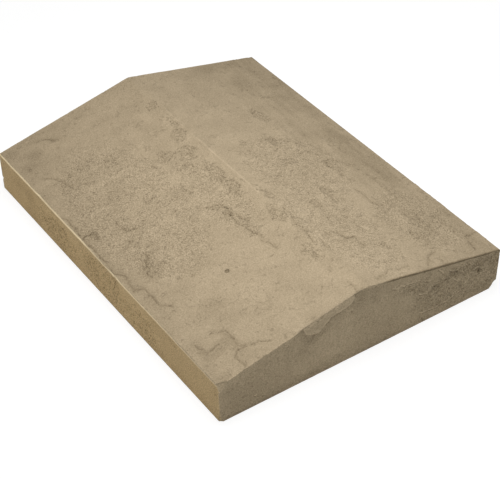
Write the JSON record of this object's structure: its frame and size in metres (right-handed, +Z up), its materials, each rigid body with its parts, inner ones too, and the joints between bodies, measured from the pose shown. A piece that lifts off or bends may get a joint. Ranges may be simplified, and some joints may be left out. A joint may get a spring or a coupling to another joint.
{
  "type": "peaked wall cap",
  "caption": "Peaked coping stone for the top of a garden wall: flat base, upright edges, two shallow slopes up to a ridge, tooled ends.",
  "frame": {"origin": "middle of the flat base, on the plane the cap is bedded on", "axes": "+Y along the ridge, away from the front end; +X across the slopes, to the right as seen from the front end; +Z up"},
  "size_m": [0.305, 0.406, 0.075],
  "materials": {
    "cast_stone": "buff cast concrete, cleft top, worn arrises"
  },
  "bodies": {
    "root": {"wall_cap": "cast_stone"}
  },
  "joints": []
}
